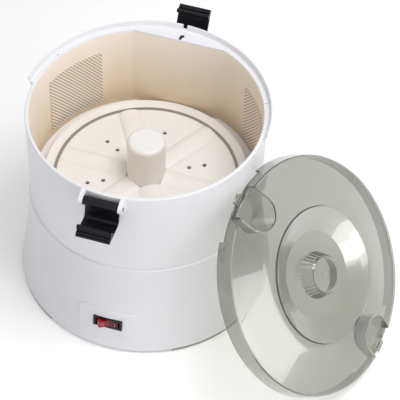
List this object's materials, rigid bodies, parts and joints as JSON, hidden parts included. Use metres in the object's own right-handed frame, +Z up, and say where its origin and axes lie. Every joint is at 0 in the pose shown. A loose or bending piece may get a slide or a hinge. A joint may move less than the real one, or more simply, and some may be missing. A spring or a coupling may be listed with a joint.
{
  "type": "electric potato peeler",
  "caption": "Round kitchen appliance with a flared motor base, an open drum with a turning disc, two swinging latches, a red rocker switch and a see-through knobbed lid leaning on it.",
  "frame": {"origin": "on the drum's axis, at the surface that the feet stand on", "axes": "+Z up along the drum's axis; the switch and the front latch face -Y; the lid leans on the +X side"},
  "size_m": [0.4, 0.3251, 0.2237],
  "materials": {
    "base_white": "smooth",
    "cover_grey": "fine texture",
    "foot_rubber": "matte",
    "screw_steel": "plated",
    "gland_black": "matte",
    "switch_black": "satin",
    "rocker_red": "translucent gloss",
    "terminal_brass": "plain",
    "drum_white": "smooth",
    "liner_white": "satin",
    "pin_dark": "blackened",
    "latch_black": "satin",
    "rod_black": "matte",
    "spring_steel": "plain wire",
    "plate_steel": "zinc plated",
    "motor_steel": "satin",
    "shaft_steel": "ground",
    "pinion_brass": "plain",
    "fan_black": "matte",
    "gear_white": "natural",
    "bush_bronze": "sintered",
    "seal_rubber": "matte",
    "disc_white": "smooth",
    "grit_grey": "gritty",
    "lid_clear": "translucent gloss"
  },
  "bodies": {
    "machine": {"base_shell": "base_white", "bottom_cover": "cover_grey", "foot_pads": "foot_rubber", "cover_screws": "screw_steel", "cord_gland": "gland_black", "switch_housing": "switch_black", "switch_terminals": "terminal_brass", "bowl_shell": "drum_white", "bowl_liner": "liner_white", "bowl_screws": "screw_steel", "hinge_pin_front": "pin_dark", "hinge_pin_rear": "pin_dark", "interlock_spring": "spring_steel", "microswitch": "switch_black", "motor_plate": "plate_steel", "plate_screws": "screw_steel", "motor_can": "motor_steel", "motor_screws": "screw_steel", "plate_bush": "bush_bronze", "drum_bushes": "bush_bronze", "shaft_seal": "seal_rubber"},
    "latch_f": {"latch_front": "latch_black"},
    "latch_r": {"latch_rear": "latch_black"},
    "rocker_body": {"rocker": "rocker_red"},
    "interlock": {"interlock_rod": "rod_black"},
    "spindle_body": {"spindle": "shaft_steel", "main_gear": "gear_white", "spindle_clip": "pin_dark"},
    "disc_body": {"turntable": "disc_white", "abrasive_ring": "grit_grey"},
    "motor_rotor": {"motor_shaft": "shaft_steel", "pinion": "pinion_brass", "fan": "fan_black"},
    "lid_body": {"lid": "lid_clear"}
  },
  "joints": [
    {"name": "front_latch_swing", "type": "hinge", "parent": "machine", "child": "latch_f", "pos_m": [-0.0028, -0.122, 0.21], "axis": [-1, 0, 0], "range_deg": [0, 169]},
    {"name": "rear_latch_swing", "type": "hinge", "parent": "machine", "child": "latch_r", "pos_m": [0.0016, 0.122, 0.21], "axis": [1, 0, 0], "range_deg": [-56, 113]},
    {"name": "power_rocker", "type": "hinge", "parent": "machine", "child": "rocker_body", "pos_m": [0.002, -0.12282, 0.03769], "axis": [0, 0.1506, 0.9886], "range_deg": [-28, 0]},
    {"name": "interlock_press", "type": "slide", "parent": "machine", "child": "interlock", "axis": [0, 0, -1], "range_m": [0, 0.0025], "stiffness_N_per_m": 300, "springref_m": -0.004, "deforming": ["interlock_spring"]},
    {"name": "spindle_spin", "type": "hinge", "parent": "machine", "child": "spindle_body", "pos_m": [0, 0, 0.12], "axis": [0, 0, 1], "continuous": true},
    {"name": "turntable_lift", "type": "slide", "parent": "spindle_body", "child": "disc_body", "axis": [0, 0, 1], "range_m": [0, 0.095]},
    {"name": "motor_spin", "type": "hinge", "parent": "machine", "child": "motor_rotor", "pos_m": [-0.05074, 0.01847, 0.06], "axis": [0, 0, 1], "continuous": true},
    {"name": "lid_lift", "type": "slide", "parent": "machine", "child": "lid_body", "axis": [0, 0, 1], "range_m": [0, 0.3]}
  ],
  "couplings": [
    {"joint": "motor_spin", "follows": "spindle_spin", "ratio": -5}
  ]
}
